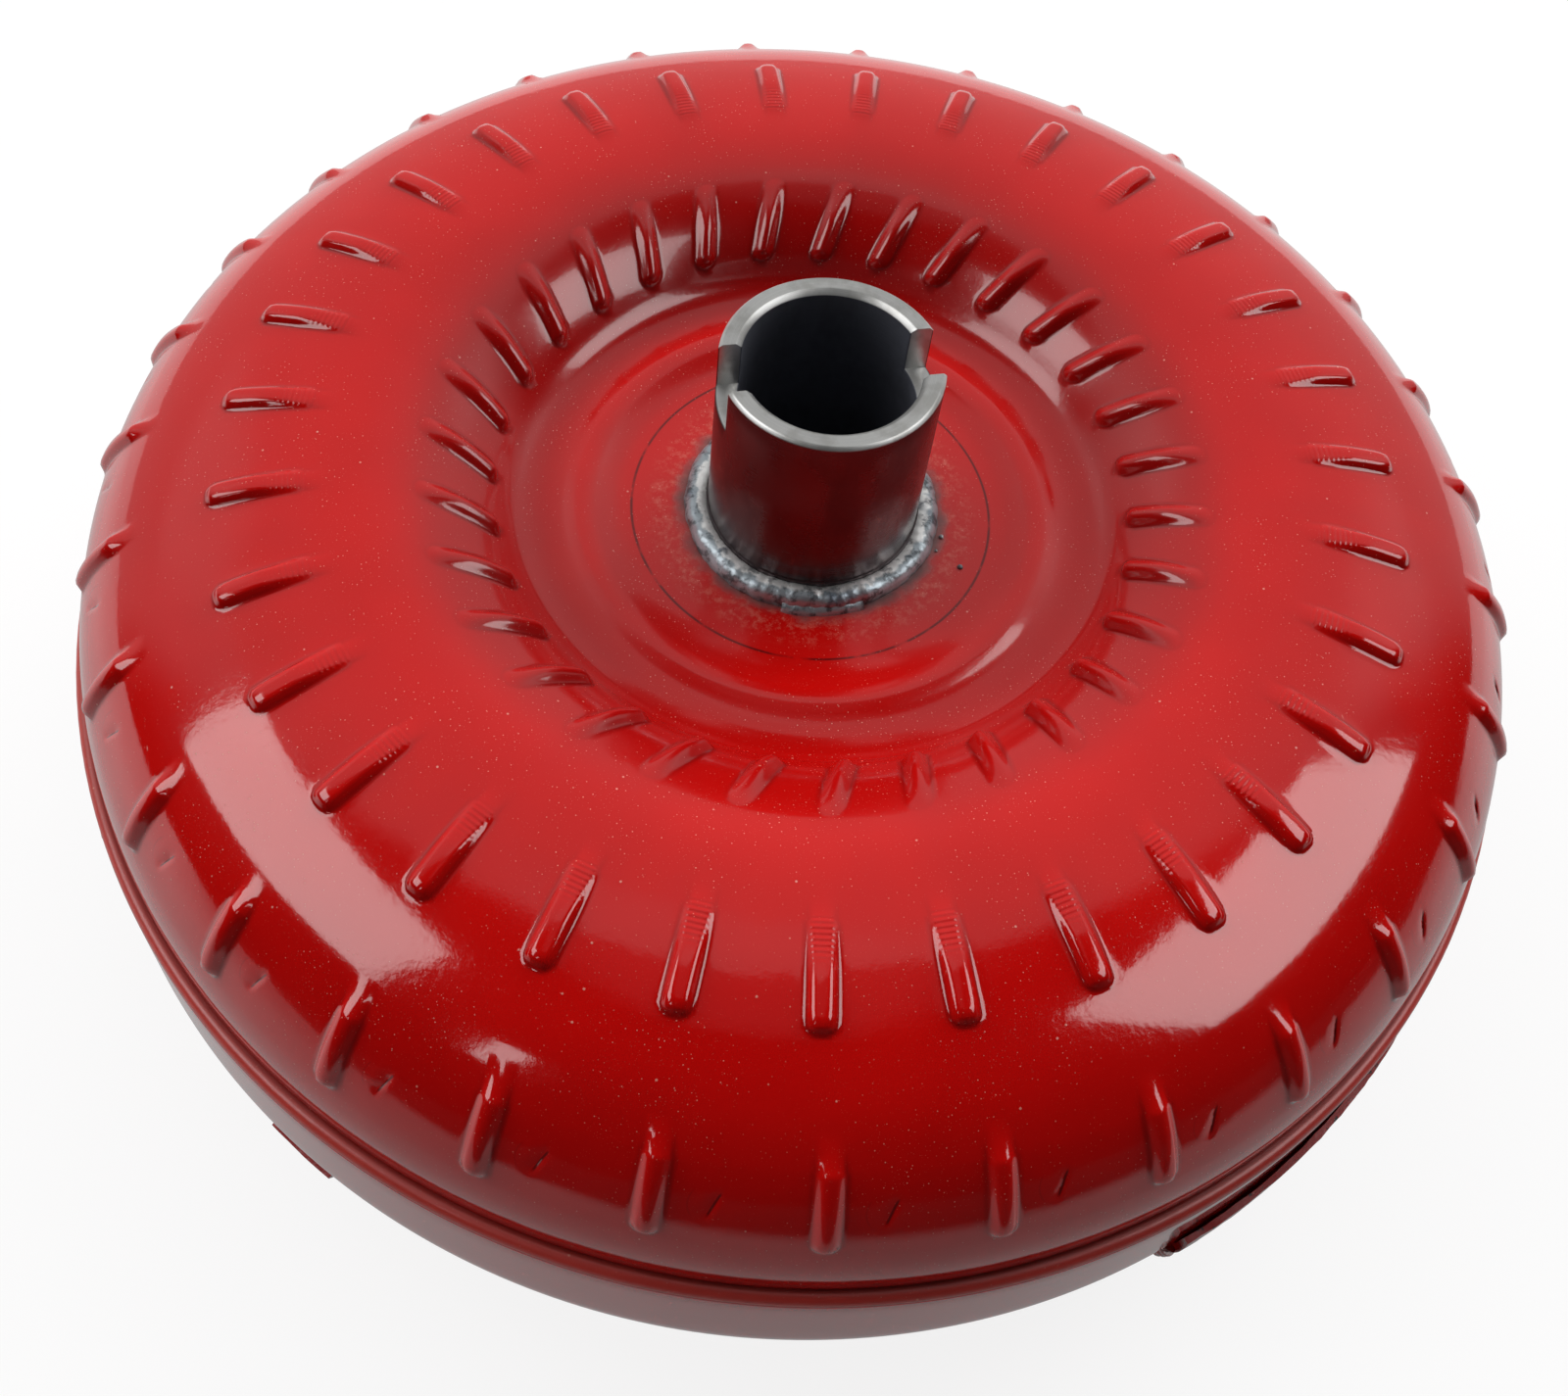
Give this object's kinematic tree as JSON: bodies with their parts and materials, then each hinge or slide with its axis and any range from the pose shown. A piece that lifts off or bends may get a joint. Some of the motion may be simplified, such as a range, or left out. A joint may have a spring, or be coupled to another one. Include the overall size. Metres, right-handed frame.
{
  "type": "torque converter",
  "caption": "Welded steel torque converter with ribbed pump shell, slotted pump hub, crank pilot, drive-plate lugs, and a turbine and one-way stator that spin inside.",
  "frame": {"origin": "centre of the crank pilot's nose face, where the part stands", "axes": "+Z along the axis of rotation from the crank pilot to the pump hub; the hub's two drive slots lie on +X and -X"},
  "size_m": [0.3342, 0.332, 0.147],
  "materials": {
    "housing_paint": "gloss red enamel",
    "hub_steel": "ground, with light oil stain",
    "weld_steel": "as welded, dull",
    "blade_steel": "rolled sheet",
    "forged_steel": "machined, oiled",
    "stator_aluminium": "die cast",
    "ground_steel": "ground and hardened",
    "spring_steel": "tempered",
    "cage_brass": "stamped",
    "bearing_bronze": "sintered"
  },
  "bodies": {
    "housing": {"front_cover": "housing_paint", "crank_pilot": "hub_steel", "pilot_weld": "weld_steel", "mounting_lugs": "housing_paint", "lug_welds": "weld_steel", "balance_weight": "housing_paint", "closure_weld": "housing_paint", "impeller_shell": "housing_paint", "impeller_blades": "blade_steel", "impeller_core_ring": "blade_steel", "impeller_hub": "hub_steel", "hub_weld": "weld_steel", "rear_race": "ground_steel", "cover_thrust_washer": "bearing_bronze"},
    "turbine": {"turbine_shell": "blade_steel", "turbine_blades": "blade_steel", "turbine_core_ring": "blade_steel", "turbine_hub": "forged_steel", "turbine_rivets": "forged_steel", "front_race": "ground_steel"},
    "stator": {"stator_wheel": "stator_aluminium", "clutch_cam": "forged_steel", "clutch_rollers": "ground_steel", "clutch_springs": "spring_steel", "stator_front_plate": "ground_steel", "stator_rear_plate": "ground_steel", "stator_snap_ring": "forged_steel", "stator_front_race": "ground_steel", "stator_rear_race": "ground_steel"},
    "stator_inner_race": {"clutch_inner_race": "forged_steel"},
    "front_bearing": {"front_bearing_cage": "cage_brass", "front_bearing_needles": "ground_steel"},
    "rear_bearing": {"rear_bearing_cage": "cage_brass", "rear_bearing_needles": "ground_steel"}
  },
  "joints": [
    {"name": "turbine_spin", "type": "hinge", "parent": "housing", "child": "turbine", "pos_m": [0, 0, 0.073], "axis": [0, 0, 1], "continuous": true},
    {"name": "stator_spin", "type": "hinge", "parent": "housing", "child": "stator", "pos_m": [0, 0, 0.073], "axis": [0, 0, 1], "continuous": true},
    {"name": "inner_race_spin", "type": "hinge", "parent": "housing", "child": "stator_inner_race", "pos_m": [0, 0, 0.073], "axis": [0, 0, 1], "continuous": true},
    {"name": "front_bearing_spin", "type": "hinge", "parent": "housing", "child": "front_bearing", "pos_m": [0, 0, 0.073], "axis": [0, 0, 1], "continuous": true},
    {"name": "rear_bearing_spin", "type": "hinge", "parent": "housing", "child": "rear_bearing", "pos_m": [0, 0, 0.073], "axis": [0, 0, 1], "continuous": true}
  ],
  "couplings": [
    {"joint": "front_bearing_spin", "follows": "turbine_spin", "ratio": 0.5},
    {"joint": "rear_bearing_spin", "follows": "stator_spin", "ratio": 0.5}
  ]
}
